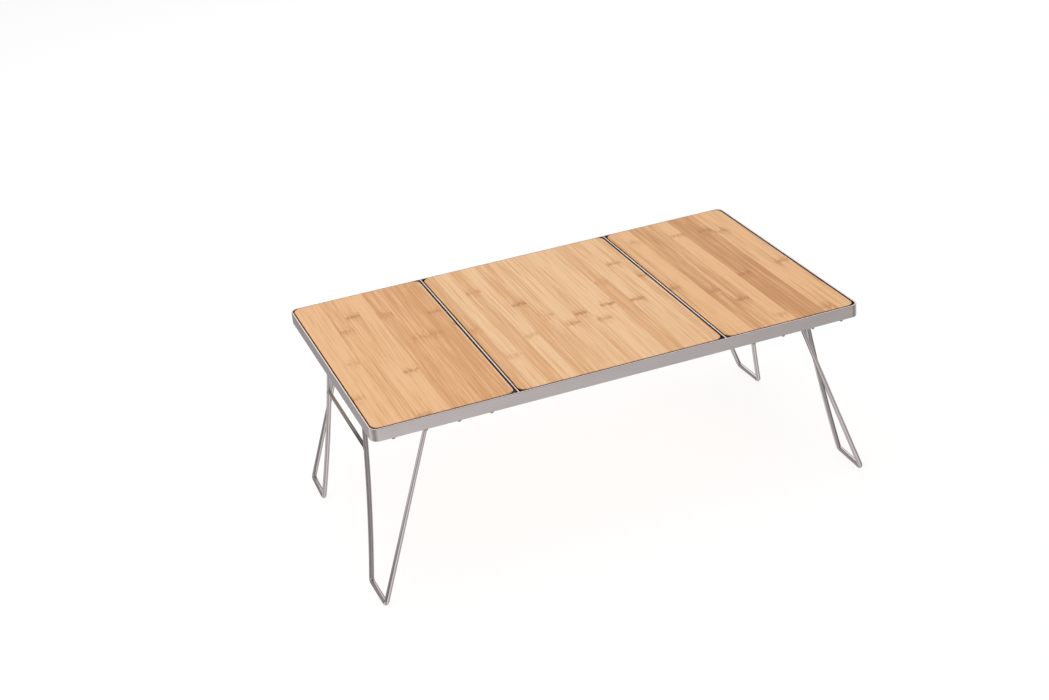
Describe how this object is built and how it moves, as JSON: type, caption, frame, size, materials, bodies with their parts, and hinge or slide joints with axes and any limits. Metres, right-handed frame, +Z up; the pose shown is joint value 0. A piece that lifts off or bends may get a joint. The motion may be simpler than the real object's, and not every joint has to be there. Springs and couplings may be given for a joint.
{
  "type": "folding side table",
  "caption": "Low folding side table: loose bamboo boards in a stainless flat-bar rim, carried by hinged bent-rod wire legs.",
  "frame": {"origin": "on the floor, under the middle of the table", "axes": "+X along the table's length, -Y towards the front long side, +Z up"},
  "size_m": [0.625, 0.366, 0.2347],
  "materials": {
    "frame_steel": "brushed stainless flat bar",
    "rod_steel": "satin stainless rod",
    "bamboo": "oiled strip bamboo"
  },
  "bodies": {
    "frame": {"rim_band": "frame_steel", "divider_left": "frame_steel", "divider_right": "frame_steel", "middle_gusset_front_left": "frame_steel", "middle_gusset_back_left": "frame_steel", "middle_gusset_front_right": "frame_steel", "middle_gusset_back_right": "frame_steel", "support_wire_left_outer": "rod_steel", "support_wire_left_inner": "rod_steel", "support_wire_left_innermost": "rod_steel", "support_wire_right_outer": "rod_steel", "support_wire_right_inner": "rod_steel", "support_wire_right_innermost": "rod_steel", "hinge_wire_left": "rod_steel", "hinge_wire_right": "rod_steel"},
    "leg_left": {"leg_left_rod_front": "rod_steel", "leg_left_rod_back": "rod_steel", "leg_left_sleeve_front": "rod_steel", "leg_left_sleeve_back": "rod_steel", "leg_left_crossbar": "rod_steel"},
    "leg_right": {"leg_right_rod_front": "rod_steel", "leg_right_rod_back": "rod_steel", "leg_right_sleeve_front": "rod_steel", "leg_right_sleeve_back": "rod_steel", "leg_right_crossbar": "rod_steel"},
    "board_left": {"board_left": "bamboo"},
    "board_middle": {"board_middle": "bamboo"},
    "board_right": {"board_right": "bamboo"}
  },
  "joints": [
    {"name": "leg_left_fold", "type": "hinge", "parent": "frame", "child": "leg_left", "pos_m": [-0.238, 0, 0.219], "axis": [0, -1, 0], "range_deg": [0, 91]},
    {"name": "leg_right_fold", "type": "hinge", "parent": "frame", "child": "leg_right", "pos_m": [0.238, 0, 0.219], "axis": [0, 1, 0], "range_deg": [0, 91]},
    {"name": "board_left_lift", "type": "slide", "parent": "frame", "child": "board_left", "axis": [0, 0, 1], "range_m": [0, 0.06]},
    {"name": "board_middle_lift", "type": "slide", "parent": "frame", "child": "board_middle", "axis": [0, 0, 1], "range_m": [0, 0.06]},
    {"name": "board_right_lift", "type": "slide", "parent": "frame", "child": "board_right", "axis": [0, 0, 1], "range_m": [0, 0.06]}
  ]
}
